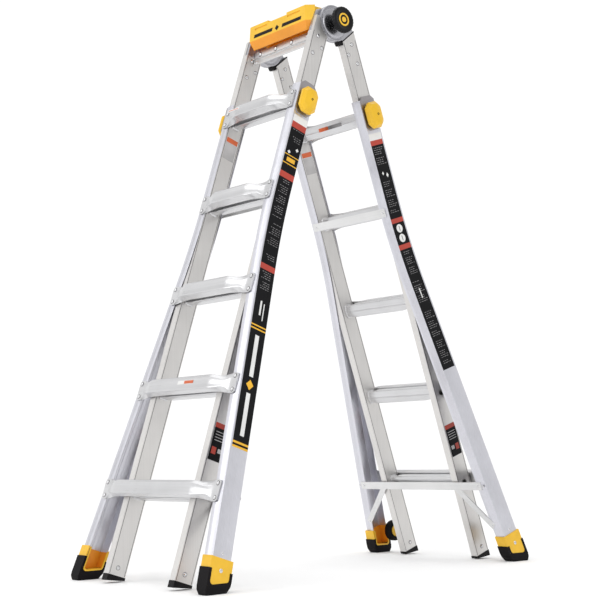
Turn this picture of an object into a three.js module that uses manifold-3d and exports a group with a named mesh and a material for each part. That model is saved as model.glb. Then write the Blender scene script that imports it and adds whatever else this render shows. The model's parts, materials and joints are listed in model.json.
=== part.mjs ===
// A multi position ladder, standing open as a step ladder.
//
// Two like sections meet at a locking hinge on each side. Each section is a straight inner ladder that
// slides inside a flared outer ladder, held by a spring-loaded lock knob on each side.
//
// Units are millimetres, +Z is up, the front section climbs from -Y and +X is the right-hand side.
//
// Every section is drawn hanging straight down from the hinge axis, in three section coordinates:
//   x  across the ladder, n  away from the other section, s  down along the rails from the hinge axis.
// A point (x, n, s) is drawn at (x, -n, -s), and then the whole section is leaned back by SPREAD.

import * as THREE from "three";
import { mergeVertices } from "three/addons/utils/BufferGeometryUtils.js";
import Module from "manifold-3d";

const wasm = await Module();
wasm.setup();

// ---------------------------------------------------------------- driving dimensions

const SPREAD = THREE.MathUtils.degToRad(18.4); // lean of each section from upright
const GAP = 0.3; // clearance between pieces that rest on each other
const SIDES = [1, -1];

const RUNG_PITCH = 304.8;
const RUNG_COUNT = 5;
const TOP_RUNG_S = 307;
const rungS = (number) => TOP_RUNG_S + (RUNG_COUNT - number) * RUNG_PITCH; // rung 1 is the lowest

const HINGE_HEIGHT = 1685; // hinge axis above the floor
const FOOT_THICKNESS = 26; // rubber under each boot
const INNER_FOOT_LIFT = 2; // inner rails hang just clear of the floor
const INNER_FOOT_RISE = 8; // the end caps' outer edge is higher than their inner edge by this much

const INNER = { x0: 150, x1: 174.5, n0: 14, n1: 73, top: 62, bottom: 1770, wall: 1.7 };
const INNER_MID_N = (INNER.n0 + INNER.n1) / 2;
const OUTER = { x0: 146, x1: 180.5, n0: 10.5, n1: 76.5, top: 252, bottom: 1742, wall: 2 };

const FLARE = { start: 590, bend: 270, slope: 0.137 }; // the outer rails curve outwards below start

const LOCK_HOLE_RADIUS = 10;
const LOCK_PIN_RADIUS = 9;
const LOCK_PLATE = { s0: 242, s1: 352, n0: 12, n1: 75, thickness: 3, corner: 13 };
const LOCK_KNOB = {
  halfLength: 42, halfWidth: 31, corner: 16, stand: 4, depth: 30,
  backInset: 5, backSlope: 6, frontInset: 7, frontSlope: 8, pinInWall: 0.5,
};

const TREAD = {
  depth: 33, height: 43, endHeight: 58, endThickness: 5.3, wall: 1.8, endInset: 10,
  corner: 8, innerCorner: 7, endCorner: 1.5,
};
const TREAD_END_FLAT = 30; // length of each crushed end that lies on the rail
const TREAD_TAPER = 72; // length over which the tube is crushed
const RUNG = { depth: 33, height: 43, wall: 1.8, corner: 9 };

const HINGE = {
  radius: 58, split: 162.5, neckS: 22, neckCorner: 24, tongueEnd: 152, boreRadius: 8, sides: 40,
};
const HINGE_KNOB = {
  radius: 42, face: 219, thickness: 14, neckRadius: 17, neckStart: 188, rimInset: 4, rimDepth: 3,
};
const HINGE_AXLE = { radius: 7.6, start: 158.5 }; // short enough to be pushed in by 9 beside the top cap

const TOP_BAR = { s0: 44, s1: 90, n0: 22, n1: 45, wall: 3 };
const CAP = {
  frontHalf: 138, shoulderHalf: 158, neckHalf: 147, front: -90, shoulder: -66, neck: -60, back: 8,
  top: 52, crease: 2, skirt: -25, wall: 3.5, dipHalfLength: 46, dip: 7, faceLean: 3, undercut: 12,
};
const CAP_SLOT = { x0: 50, x1: 112, z0: 35, z1: 41, depth: 1.5 };

const BRACE = { n0: 7.2, n1: 10.2, barTop: 1515, barBottom: 1541, endInset: 14, strapWidth: 20 };
const BRACE_STRAP = { x0: 155, s0: 1530, x1: 277, s1: 1656 };

const BOOT = { top: 1697, wall: 3.7, floor: 5, lip: 2, openReach: 20 };
const PAD = { margin: 0.5, taper: 5 };
const WHEEL = { x: 256, n: 84, s: 1723, radius: 36, width: 24, boreRadius: 5, hubRadius: 25, hubStep: 2 };
const WHEEL_EAR = { thickness: 4, halfDepth: 15, halfHeight: 15, corner: 7, clearance: 1, webOverlap: 6 };
const WHEEL_AXLE = { radius: 4.5, headRadius: 8, headThickness: 2.5 };

// ---------------------------------------------------------------- colours

const finish = (color, roughness, metalness) =>
  new THREE.MeshStandardMaterial({ color, roughness, metalness });

const COLOURS = {
  rail: () => finish(0xcfcdc9, 0.42, 0.9),
  rung: () => finish(0xc6c4c2, 0.38, 0.9),
  casting: () => finish(0xb9b8b6, 0.3, 0.95),
  steel: () => finish(0x96918f, 0.45, 0.85),
  yellow: () => finish(0xf0b426, 0.45, 0),
  rubber: () => finish(0x232126, 0.8, 0),
  black: () => finish(0x1d1c20, 0.5, 0),
};

// ---------------------------------------------------------------- solids

const point = (x, n, s) => new THREE.Vector3(x, -n, -s);

// How far the outer rails stand outside their straight line at s.
function flare(s) {
  const { start, bend, slope } = FLARE;
  if (s <= start) return 0;
  if (s >= start + bend) return slope * (s - start - bend / 2);
  return (slope * (s - start) ** 2) / (2 * bend);
}

function toSolid(geometry) {
  const bare = new THREE.BufferGeometry();
  bare.setAttribute("position", geometry.getAttribute("position"));
  bare.setIndex(geometry.index);
  const merged = mergeVertices(bare, 1e-4);
  return new wasm.Manifold(
    new wasm.Mesh({
      numProp: 3,
      vertProperties: merged.attributes.position.array,
      triVerts: new Uint32Array(merged.index.array),
    }),
  );
}

function toGeometry(solid) {
  const mesh = solid.getMesh();
  const geometry = new THREE.BufferGeometry();
  geometry.setAttribute("position", new THREE.BufferAttribute(mesh.vertProperties, 3));
  geometry.setIndex(new THREE.BufferAttribute(mesh.triVerts, 1));
  geometry.computeVertexNormals();
  return geometry;
}

// Joins the first list of geometries and cuts the second list away.
function carve(added, removed = []) {
  const joined = added.map(toSolid).reduce((whole, solid) => whole.add(solid));
  return toGeometry(removed.map(toSolid).reduce((whole, solid) => whole.subtract(solid), joined));
}

// A closed body through rings of points that all have the same count, capped by the first and last ring.
function loft(rings) {
  const count = rings[0].length;
  const positions = rings.flat().flatMap((p) => [p.x, p.y, p.z]);
  const faces = [];
  for (let ring = 0; ring < rings.length - 1; ring++) {
    for (let i = 0; i < count; i++) {
      const here = ring * count + i;
      const next = ring * count + ((i + 1) % count);
      faces.push(here, next, here + count, next, next + count, here + count);
    }
  }
  const outline = flatten(rings[0]);
  const turnedOver = THREE.ShapeUtils.isClockWise(outline);
  const last = (rings.length - 1) * count;
  for (const [a, b, c] of THREE.ShapeUtils.triangulateShape(outline, [])) {
    const [first, third] = turnedOver ? [c, a] : [a, c];
    faces.push(third, b, first);
    faces.push(last + first, last + b, last + third);
  }
  const geometry = new THREE.BufferGeometry();
  geometry.setAttribute("position", new THREE.Float32BufferAttribute(positions, 3));
  geometry.setIndex(faces);
  return faceOutwards(geometry);
}

// A planar ring in the two directions that it spreads over most.
function flatten(ring) {
  const size = new THREE.Box3().setFromPoints(ring).getSize(new THREE.Vector3());
  const flattest = Math.min(size.x, size.y, size.z);
  if (flattest === size.x) return ring.map((p) => new THREE.Vector2(p.y, p.z));
  if (flattest === size.y) return ring.map((p) => new THREE.Vector2(p.x, p.z));
  return ring.map((p) => new THREE.Vector2(p.x, p.y));
}

function flipFaces(geometry) {
  const index = Array.from(geometry.index.array);
  for (let i = 0; i < index.length; i += 3) {
    [index[i + 1], index[i + 2]] = [index[i + 2], index[i + 1]];
  }
  geometry.setIndex(index);
  return geometry;
}

function faceOutwards(geometry) {
  const at = geometry.getAttribute("position");
  const corners = [0, 1, 2].map(() => new THREE.Vector3());
  let volume = 0;
  for (let i = 0; i < geometry.index.count; i += 3) {
    corners.forEach((corner, k) => corner.fromBufferAttribute(at, geometry.index.getX(i + k)));
    volume += corners[0].dot(corners[1].clone().cross(corners[2]));
  }
  return volume < 0 ? flipFaces(geometry) : geometry;
}

// An outline of [n, s] points carried across from x0 to x1, following the flare if it is given.
function acrossX(outline, x0, x1, lean = () => 0) {
  return loft([x0, x1].map((x) => outline.map(([n, s]) => point(x + lean(s), n, s))));
}

// An outline of [x, s] points carried through from n0 to n1.
const throughN = (outline, n0, n1) => loft([n0, n1].map((n) => outline.map(([x, s]) => point(x, n, s))));

const rectangle = (a0, a1, b0, b1) => [[a0, b0], [a1, b0], [a1, b1], [a0, b1]];

const block = (x0, x1, n0, n1, s0, s1, lean) => acrossX(rectangle(n0, n1, s0, s1), x0, x1, lean);

// A rectangle of [a, b] points with its four corners cut off.
function chamfered(a0, a1, b0, b1, corner) {
  return [
    [a0 + corner, b0], [a1 - corner, b0], [a1, b0 + corner], [a1, b1 - corner],
    [a1 - corner, b1], [a0 + corner, b1], [a0, b1 - corner], [a0, b0 + corner],
  ];
}

function circle(n, s, radius, sides) {
  return Array.from({ length: sides }, (_, i) => {
    const angle = (2 * Math.PI * (i + 0.5)) / sides;
    return [n + radius * Math.cos(angle), s + radius * Math.sin(angle)];
  });
}

const disc = (x0, x1, n, s, radius, sides = 16) => acrossX(circle(n, s, radius, sides), x0, x1);

// The same body on the other side of the ladder.
function onSide(geometry, side) {
  if (side > 0) return geometry;
  const mirrored = geometry.clone().scale(-1, 1, 1);
  flipFaces(mirrored);
  mirrored.computeVertexNormals();
  return mirrored;
}

// s of a level plane at the given height above the floor, where it crosses n.
const levelS = (height, n) => (HINGE_HEIGHT - height + n * Math.sin(SPREAD)) / Math.cos(SPREAD);

// ---------------------------------------------------------------- inner ladder

function innerRail() {
  const { x0, x1, n0, n1, top, bottom, wall } = INNER;
  const lockHoles = Array.from({ length: RUNG_COUNT }, (_, i) =>
    disc(x1 - 2 * wall, x1 + 1, INNER_MID_N, rungS(i + 1), LOCK_HOLE_RADIUS, 10),
  );
  const hollow = block(x0 + wall, x1 - wall, n0 + wall, n1 - wall, top - 1, bottom + 1);
  return carve([block(x0, x1, n0, n1, top, bottom)], [hollow, ...lockHoles]);
}

function innerRung(number) {
  const { depth, height, wall, corner } = RUNG;
  const end = INNER.x0 - GAP;
  const s = rungS(number);
  const section = (inset) =>
    chamfered(
      INNER_MID_N - depth / 2 + inset,
      INNER_MID_N + depth / 2 - inset,
      s - height / 2 + inset,
      s + height / 2 - inset,
      corner - inset / 2,
    );
  return carve([acrossX(section(0), -end, end)], [acrossX(section(wall), -end - 1, end + 1)]);
}

function innerEndCap() {
  const { x0, x1, n0, n1, bottom, wall } = INNER;
  const lip = 0.7;
  const plugLength = 24;
  const top = bottom + GAP;
  const foot = [
    [n0 - lip, top],
    [n1 + lip, top],
    [n1 + lip, levelS(INNER_FOOT_LIFT + INNER_FOOT_RISE, n1 + lip)],
    [n0 - lip, levelS(INNER_FOOT_LIFT, n0 - lip)],
  ];
  const inset = wall + GAP;
  const plug = block(x0 + inset, x1 - inset, n0 + inset, n1 - inset, top - plugLength, top + 1);
  return carve([acrossX(foot, x0 - lip, x1 + lip), plug]);
}

// ---------------------------------------------------------------- outer ladder

function outerRail() {
  const { x0, x1, n0, n1, top, bottom, wall } = OUTER;
  const bendSteps = 6;
  const stations = [top];
  for (let i = 0; i <= bendSteps; i++) stations.push(FLARE.start + (FLARE.bend * i) / bendSteps);
  stations.push(bottom);
  const channel = [
    [x1, n0], [x1, n1], [x0, n1], [x0, n1 - wall],
    [x1 - wall, n1 - wall], [x1 - wall, n0 + wall], [x0, n0 + wall], [x0, n0],
  ];
  const rail = loft(stations.map((s) => channel.map(([x, n]) => point(x + flare(s), n, s))));
  return carve([rail], [disc(x1 - 2 * wall, x1 + 1, INNER_MID_N, TOP_RUNG_S, LOCK_HOLE_RADIUS, 12)]);
}

// A crushed-end tube that lies on the outer rails' climbing side.
function outerTread(number) {
  const middleS = rungS(number);
  const end = OUTER.x1 + flare(middleS) - TREAD.endInset;
  const flatStart = end - TREAD_END_FLAT;
  const tubeStart = flatStart - TREAD_TAPER;
  const back = OUTER.n1 + GAP;
  const ring = (x, depth, height, corner, inset = 0) =>
    chamfered(
      back + inset, back + depth - inset,
      middleS - height / 2 + inset, middleS + height / 2 - inset,
      corner,
    ).map(([n, s]) => point(x, n, s));
  const tube = (x) => ring(x, TREAD.depth, TREAD.height, TREAD.corner);
  const crushed = (x) => ring(x, TREAD.endThickness, TREAD.endHeight, TREAD.endCorner);
  const outside = [
    crushed(-end), crushed(-flatStart), tube(-tubeStart), tube(tubeStart), crushed(flatStart), crushed(end),
  ];
  const bore = (x) => ring(x, TREAD.depth, TREAD.height, TREAD.innerCorner, TREAD.wall);
  const weepHole = throughWeep(back + TREAD.depth / 2, middleS + TREAD.height / 2);
  return carve([loft(outside)], [loft([bore(-tubeStart), bore(tubeStart)]), weepHole]);
}

// A short upright drain through the underside of a tread.
function throughWeep(n, s) {
  const half = 3;
  return block(-half, half, n - half, n + half, s - 2 * TREAD.wall, s + 1);
}

function braceFrame() {
  const { n0, n1, barTop, barBottom, strapWidth } = BRACE;
  const reach = OUTER.x1 - BRACE.endInset + flare(barTop);
  const bar = throughN(rectangle(-reach, reach, barTop, barBottom), n0, n1);
  const { x0, s0, x1, s1 } = BRACE_STRAP;
  const across = (strapWidth * (s1 - s0)) / Math.hypot(x1 - x0, s1 - s0);
  const strap = [
    [x0 - across / 2, s0], [x0 + across / 2, s0 - across],
    [x1 + across, s1], [x1, s1 + across],
  ];
  const straps = SIDES.map((side) => throughN(strap.map(([x, s]) => [side * x, s]), n0, n1));
  return carve([bar, ...straps]);
}

// ---------------------------------------------------------------- feet and wheels

const BOOT_N0 = OUTER.n0 - BOOT.wall;
const BOOT_N1 = OUTER.n1 + BOOT.wall;

// The ear on a back boot's inner side that carries the wheel, and the axle fixed in it.
function wheelBracket() {
  const { x, n, s, width } = WHEEL;
  const { thickness, halfDepth, halfHeight, corner, clearance, webOverlap } = WHEEL_EAR;
  const earX = x + width / 2 + clearance;
  const headX = x - width / 2 - clearance;
  const ear = acrossX(
    chamfered(n - halfDepth, n + halfDepth, s - halfHeight, s + halfHeight, corner),
    earX,
    earX + thickness,
  );
  const webEnd = OUTER.x0 + flare(s) + webOverlap;
  const web = block(earX, webEnd, OUTER.n1 + GAP, BOOT_N1, s - halfHeight, s + halfHeight);
  const axle = disc(headX - 1, earX + 1, n, s, WHEEL_AXLE.radius, 12);
  const head = disc(headX - WHEEL_AXLE.headThickness, headX, n, s, WHEEL_AXLE.headRadius, 12);
  return [ear, web, axle, head];
}

// A moulded boot, open towards the middle of the ladder, that the outer rail stands in.
function boot(withWheel) {
  const { x0, x1, bottom } = OUTER;
  const outline = [
    [BOOT_N0, BOOT.top],
    [BOOT_N1, BOOT.top],
    [BOOT_N1, levelS(FOOT_THICKNESS, BOOT_N1)],
    [BOOT_N0, levelS(FOOT_THICKNESS, BOOT_N0)],
  ];
  const shell = acrossX(outline, x0 - BOOT.lip, x1 + BOOT.wall, flare);
  const pocket = [
    [OUTER.n0 - GAP, BOOT.top - 1],
    [OUTER.n1 + GAP, BOOT.top - 1],
    [OUTER.n1 + GAP, levelS(FOOT_THICKNESS + BOOT.floor, OUTER.n1)],
    [OUTER.n0 - GAP, levelS(FOOT_THICKNESS + BOOT.floor, OUTER.n0)],
  ];
  if (pocket[3][1] <= bottom) throw new Error("the rail reaches through the boot's floor");
  const opening = acrossX(pocket, x0 - BOOT.openReach, x1 + GAP, flare);
  return carve([shell, ...(withWheel ? wheelBracket() : [])], [opening]);
}

// A level-topped rubber block that narrows towards the floor.
function footPad() {
  const ring = (height, margin) => {
    const n0 = BOOT_N0 - margin;
    const n1 = BOOT_N1 + margin;
    const x0 = OUTER.x0 - BOOT.lip - margin;
    const x1 = OUTER.x1 + BOOT.wall + margin;
    const corner = (x, n) => point(x + flare(levelS(height, n)), n, levelS(height, n));
    return [corner(x0, n0), corner(x1, n0), corner(x1, n1), corner(x0, n1)];
  };
  return carve([loft([ring(0, PAD.margin - PAD.taper), ring(FOOT_THICKNESS - GAP, PAD.margin)])]);
}

function wheel() {
  const { x, n, s, radius, width, boreRadius, hubRadius, hubStep } = WHEEL;
  const half = width / 2;
  const tyre = disc(x - half, x + half, n, s, radius, 28);
  const innerRecess = disc(x - half - 1, x - half + hubStep, n, s, hubRadius, 20);
  const outerRecess = disc(x + half - hubStep, x + half + 1, n, s, hubRadius, 20);
  const bore = disc(x - half - 1, x + half + 1, n, s, boreRadius, 12);
  return carve([tyre], [innerRecess, outerRecess, bore]);
}

// ---------------------------------------------------------------- rail locks

function lockPlate() {
  const { s0, s1, n0, n1, thickness, corner } = LOCK_PLATE;
  const x = OUTER.x1 + GAP;
  const plate = acrossX(chamfered(n0, n1, s0, s1, corner), x, x + thickness);
  return carve([plate], [disc(x - 1, x + thickness + 1, INNER_MID_N, TOP_RUNG_S, LOCK_HOLE_RADIUS, 12)]);
}

// The pull knob with its pin; the pin's tip stops in the outer rail's wall.
function lockKnob() {
  const { halfLength, halfWidth, corner, stand, depth } = LOCK_KNOB;
  const { backInset, backSlope, frontInset, frontSlope, pinInWall } = LOCK_KNOB;
  const back = OUTER.x1 + GAP + LOCK_PLATE.thickness + stand;
  const outline = (inset) =>
    chamfered(
      INNER_MID_N - halfWidth + inset, INNER_MID_N + halfWidth - inset,
      TOP_RUNG_S - halfLength + inset, TOP_RUNG_S + halfLength - inset,
      corner,
    );
  const ring = (x, inset) => outline(inset).map(([n, s]) => point(x, n, s));
  const grip = loft([
    ring(back, backInset),
    ring(back + backSlope, 0),
    ring(back + depth - frontSlope, 0),
    ring(back + depth, frontInset),
  ]);
  const tip = OUTER.x1 - OUTER.wall + pinInWall;
  return carve([grip, disc(tip, back + 2, INNER_MID_N, TOP_RUNG_S, LOCK_PIN_RADIUS, 12)]);
}

// ---------------------------------------------------------------- top hinges and cap

// One half of a hinge: a disc round the axis and a tongue that fits inside its inner rail.
function hingeCasting(discX0, discX1, tongueX0, tongueX1) {
  const { radius, boreRadius, neckS, neckCorner, tongueEnd, sides } = HINGE;
  const inset = INNER.wall + GAP;
  const n0 = INNER.n0 + inset;
  const n1 = INNER.n1 - inset;
  const outline = [
    [n0, neckS], [n1 - neckCorner, neckS], [n1, neckS + neckCorner],
    [n1, tongueEnd], [n0, tongueEnd],
  ];
  const tongue = acrossX(outline, tongueX0, tongueX1);
  const round = disc(discX0, discX1, 0, 0, radius, sides);
  const bore = disc(discX0 - 1, discX1 + 1, 0, 0, boreRadius, 16);
  return carve([round, tongue], [bore]);
}

const frontHingeCasting = () =>
  hingeCasting(INNER.x0, HINGE.split - GAP, INNER.x0 + INNER.wall + GAP, HINGE.split - GAP);

const backHingeCasting = () =>
  hingeCasting(HINGE.split + GAP, INNER.x1, HINGE.split + GAP, INNER.x1 - INNER.wall - GAP);

function hingeKnob() {
  const { radius, face, thickness, neckRadius, neckStart, rimInset, rimDepth } = HINGE_KNOB;
  const ring = (x, r) => circle(0, 0, r, 28).map(([n, s]) => point(x, n, s));
  const rim = loft([
    ring(face - thickness, radius - rimInset),
    ring(face - thickness + rimInset, radius),
    ring(face - rimDepth, radius),
    ring(face, radius - rimInset),
  ]);
  const neck = disc(neckStart, face - thickness + 1, 0, 0, neckRadius, 16);
  const axle = disc(HINGE_AXLE.start, neckStart + 1, 0, 0, HINGE_AXLE.radius, 16);
  return carve([rim, neck, axle]);
}

function topBar() {
  const { s0, s1, n0, n1, wall } = TOP_BAR;
  const end = INNER.x0 - 2 * GAP;
  const channel = [
    [n1, s0], [n1, s1], [n0, s1], [n0, s1 - wall],
    [n1 - wall, s1 - wall], [n1 - wall, s0 + wall], [n0, s0 + wall], [n0, s0],
  ];
  return carve([acrossX(channel, -end, end)]);
}

// The cap's plan outline, inset all round by the given amount, as [x, y] points. Its shoulders reach out in
// front of the hinges, and behind them it narrows to pass between the hinges.
function capPlan(inset) {
  const { frontHalf, shoulderHalf, neckHalf, front, shoulder, neck, back } = CAP;
  const right = [
    [frontHalf - inset * 0.6, front + inset],
    [shoulderHalf - inset, shoulder + inset * 0.6],
    [shoulderHalf - inset, shoulder + 1 + inset * 0.6],
    [neckHalf - inset, neck + inset],
    [neckHalf - inset, back - inset],
  ];
  const left = right.map(([x, y]) => [-x, y]).reverse();
  return [...right, ...left];
}

// A level slab between z0 and z1 over a plan outline of [x, y] points.
const slab = (plan, z0, z1) => loft([z0, z1].map((z) => plan.map(([x, y]) => new THREE.Vector3(x, y, z))));

// A body over the cap's plan outline at several heights, each given as [z, inset].
const capLayers = (levels) =>
  loft(levels.map(([z, inset]) => capPlan(inset).map(([x, y]) => new THREE.Vector3(x, y, z))));

// The cap stays level, so it is drawn in the upright frame of the hinge axis. Its face leans back above the
// crease and tucks in below it.
function topCap() {
  const { top, crease, skirt, wall, dip, dipHalfLength } = CAP;
  const { faceLean, undercut, shoulderHalf, front, back } = CAP;
  const { x0, x1, z0, z1, depth } = CAP_SLOT;
  const outside = capLayers([[skirt, undercut], [crease, 0], [top, faceLean]]);
  const ceiling = top - wall - dip;
  const hollow = capLayers([[skirt - 1, undercut + wall], [crease, wall], [ceiling, faceLean + wall]]);
  const apronBack = front + undercut + wall + 1;
  const behindApron = slab(rectangle(-shoulderHalf, shoulderHalf, apronBack, back + 1), skirt - 1, crease);
  const centreDip = slab(rectangle(-dipHalfLength, dipHalfLength, front - 1, back + 1), top - dip, top + 1);
  const slots = SIDES.map((side) => {
    const plan = rectangle(side * x0, side * x1, front - 1, front + faceLean + depth);
    return slab(plan, z0, z1);
  });
  return carve([outside], [hollow, behindApron, centreDip, ...slots]);
}

// ---------------------------------------------------------------- assembly

function named(name, geometry, material) {
  const mesh = new THREE.Mesh(geometry, material);
  mesh.name = name;
  return mesh;
}

// One section of the ladder. The back section is turned round, so its +x side is the ladder's left.
function buildSection(prefix, isBack) {
  const section = new THREE.Group();
  const add = (name, geometry, material) => section.add(named(`${prefix}_${name}`, geometry, material));
  for (const side of SIDES) {
    const hand = (side > 0) !== isBack ? "right" : "left";
    const addSided = (name, geometry, material) => add(`${name}_${hand}`, onSide(geometry, side), material);
    addSided("inner_rail", innerRail(), COLOURS.rail());
    addSided("inner_end_cap", innerEndCap(), COLOURS.black());
    addSided("outer_rail", outerRail(), COLOURS.rail());
    addSided("foot_boot", boot(isBack), COLOURS.yellow());
    addSided("foot_pad", footPad(), COLOURS.rubber());
    addSided("lock_plate", lockPlate(), COLOURS.steel());
    addSided("lock_knob", lockKnob(), COLOURS.yellow());
    const casting = isBack ? backHingeCasting() : frontHingeCasting();
    addSided("hinge_casting", casting, COLOURS.casting());
    if (isBack) addSided("wheel", wheel(), COLOURS.rubber());
  }
  for (let number = 1; number <= RUNG_COUNT; number++) {
    add(`inner_rung_${number}`, innerRung(number), COLOURS.rung());
    add(`outer_tread_${number}`, outerTread(number), COLOURS.rung());
  }
  add("brace_frame", braceFrame(), COLOURS.rail());
  if (!isBack) add("top_bar", topBar(), COLOURS.rail());
  section.rotation.x = -SPREAD;
  return section;
}

function buildLadder() {
  const ladder = new THREE.Group();
  ladder.add(buildSection("front", false));

  const back = new THREE.Group();
  back.rotation.z = Math.PI;
  back.add(buildSection("back", true));
  ladder.add(back);

  for (const side of SIDES) {
    const hand = side > 0 ? "right" : "left";
    ladder.add(named(`hinge_knob_${hand}`, onSide(hingeKnob(), side), COLOURS.black()));
  }
  ladder.add(named("top_cap", topCap(), COLOURS.yellow()));
  return ladder;
}

// Stands the ladder on the floor with its origin under the middle of its bounding box.
function centreOnFloor(object) {
  object.updateMatrixWorld(true);
  const bounds = new THREE.Box3().setFromObject(object, true);
  const middle = bounds.getCenter(new THREE.Vector3());
  object.position.set(-middle.x, -middle.y, -bounds.min.z);
  return object;
}

export default centreOnFloor(buildLadder());
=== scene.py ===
import json
import math

import bmesh
import bpy
from mathutils import Matrix, Vector

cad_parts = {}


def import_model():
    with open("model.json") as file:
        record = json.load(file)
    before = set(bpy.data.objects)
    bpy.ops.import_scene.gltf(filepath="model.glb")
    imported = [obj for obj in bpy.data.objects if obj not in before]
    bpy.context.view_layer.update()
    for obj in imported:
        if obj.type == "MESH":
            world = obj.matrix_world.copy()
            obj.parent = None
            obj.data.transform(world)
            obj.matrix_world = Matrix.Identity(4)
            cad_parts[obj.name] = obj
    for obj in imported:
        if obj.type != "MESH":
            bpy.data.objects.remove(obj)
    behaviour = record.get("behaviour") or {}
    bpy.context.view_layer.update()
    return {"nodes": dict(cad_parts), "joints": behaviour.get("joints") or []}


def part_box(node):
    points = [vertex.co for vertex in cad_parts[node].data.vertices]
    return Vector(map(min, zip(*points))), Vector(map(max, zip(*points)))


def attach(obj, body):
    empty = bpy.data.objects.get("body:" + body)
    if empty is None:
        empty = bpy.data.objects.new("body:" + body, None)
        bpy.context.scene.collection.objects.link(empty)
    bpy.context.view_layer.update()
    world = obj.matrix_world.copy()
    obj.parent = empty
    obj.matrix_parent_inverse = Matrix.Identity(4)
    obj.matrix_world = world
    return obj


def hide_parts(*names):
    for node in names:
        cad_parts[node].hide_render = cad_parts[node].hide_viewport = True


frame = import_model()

# The looks of a multi position ladder. Metres, +Z up, the front section is climbed from -Y.
#
# Pieces are drawn in section coordinates, which follow one leaning section of the ladder:
#   x  across the ladder, n  away from the other section, s  down along the rails from the hinge axis.

HINGE_JOINT = next(joint for joint in frame["joints"] if joint["name"] == "hinge")
HINGE = Vector(HINGE_JOINT["pos_m"])
LEAN = math.radians(-HINGE_JOINT["range_deg"][0] / 2)
SECTIONS = {"front": -1, "back": 1}  # which way each section leans along Y
SIDES = {"right": 1, "left": -1}
RUNGS = range(1, 6)

# ---- driving dimensions

FLARE_START = 0.590
FLARE_BEND = 0.270
FLARE_SLOPE = 0.137
STRAIGHT_S = 1.2  # one station on the straight stretch below the bend

INNER_X = (0.150, 0.1745)
INNER_N = (0.014, 0.073)
INNER_FACES = ((INNER_X[1], 1), (INNER_X[0], -1))  # where each wide face is and which way it looks
INNER_TOP = 0.062
OUTER_X = (0.146, 0.1805)
OUTER_N = (0.0105, 0.0765)
OUTER_S = (0.252, 1.742)
OUTER_WALL = 0.002
WEB_RIDGE = 0.0012  # height of the ridge inside the outer rails, clear of the inner rails' rivets
RIDGE_HALF = 0.0055
FLANGE_DROP = 0.0016  # the outer half of each flange falls away by this much
FLANGE_STEP = 0.0004  # the inner half of each flange stands out by this much
SHADOW_LINE_INSET = 0.003  # a painted shadow line, dark, runs along both edges of the inner rails' wide faces
SHADOW_LINE_WIDTH = 0.0014

TREAD_HEIGHT = 0.043
TREAD_FLAT = 0.005  # thickness of a tread's crushed ends
TREAD_END = 0.022  # length of a crushed end on the rail
TREAD_TAPER = 0.076
TREAD_RIB = 0.0009
RUNG_RIB = 0.0008
TREAD_PINCH = 0.5  # share of its height that the front face loses on the way to the end

SWAGE = (  # (distance from the rail, share of depth, share of height) of an inner rung's end
    (0.0, 1.0, 1.0), (0.0035, 1.02, 1.01), (0.005, 0.88, 0.88),
    (0.016, 0.8, 0.84), (0.030, 0.93, 0.95), (0.042, 1.0, 1.0),
)

HINGE_RADIUS = 0.058
HINGE_SPLIT = 0.1625  # x between the front castings and the back castings
DISC_GAP = 0.0003
BACK_DOME = 0.0036  # how far the middle of a disc stands out of its face
FRONT_DOME = 0.0020
NECK_FOOT = INNER_TOP - 0.0001
NECK_GAP = 0.0008  # between a casting's neck and the edges of its rail
GASKET = 0.0035
BACK_RAIL_RISE = 0.024  # the back rails' tops rise by this much towards their outer edge
FRONT_HORN_TOP = 0.010  # the front rails reach up beside the hinge discs to this s

CROSSBAR_S = (0.600, 0.627)
CROSSBAR_N = (0.0072, 0.0102)
CROSSBAR_HALF = 0.171
RAIL_RIVETS = ((0.050, 0.075), (0.025, 0.105), (0.054, 0.137), (0.046, 1.748))  # (n, s)
BRACE_RIVETS = (0.010, 0.030)  # distances from the brace frame's ends
STRAP_RIVET = (0.279, 1.660)  # (x, s)

BOOT_WALL = 0.0037
BOOT_TOP = 1.697
RUBBER_FLAP_TOP = 1.728
RUBBER_FLAP = 0.0028
RUBBER_MARGIN = 0.006  # how far the rubber laps onto the boot's wide faces
RUBBER_TAPER = 0.0045
TAPER_TOP = 0.025  # height above the floor where the rubber starts to taper
TONGUE_HEIGHT = 0.0265  # height above the floor where the boot's tongue ends
TONGUE_CORNER = 0.009
SOLE_KNEE = 0.014  # height above the floor where the sole turns under
SOLE_INSET = 0.008
BOOT_SKIN = 0.0014
LINING_END = 0.0315  # height above the floor where the boot's lining ends

KNOB_DEPTH = 0.030
KNOB_CORNER = 0.016
KNOB_STEPS = (  # (depth from the back, margin, fall towards the edges) of a lock knob's layers
    (0.0, 0.007, 0.0), (0.0015, 0.004, 0.0), (0.006, 0.0005, 0.0), (0.009, 0.0, 0.0), (0.013, 0.0, 0.0),
    (0.0150, 0.0010, 0.0), (0.0165, 0.0026, 0.001), (0.0270, 0.0085, 0.004), (0.0290, 0.0110, 0.006),
    (0.0296, 0.0170, 0.006), (0.0298, 0.0260, 0.006),
)
BADGES = ((0.0205, 0.0150), (0.0085, 0.0))  # outer and inner radius of a hinge knob's ring and dot
SPOKES = 6
SPOKE_REACH = (0.008, 0.020)
SPOKE_HALF = 0.0014

LABEL_LIFT = 0.00035
LABEL_N = (OUTER_N[0] + 0.0028, OUTER_N[1] - 0.0075)
BAND_STEP = 0.02
BAND_THICKNESS = 0.0006
PRINT_MARGIN = 0.007
PRINT_PITCH = 0.0066

CAP_DIP = 0.0072  # just under the dip in the middle of the cap's top
CAP_CREASE = 0.002  # height of the cap's front crease above the hinge axis
CAP_LEAN = 0.003  # how far the cap's front face leans back above the crease


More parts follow.
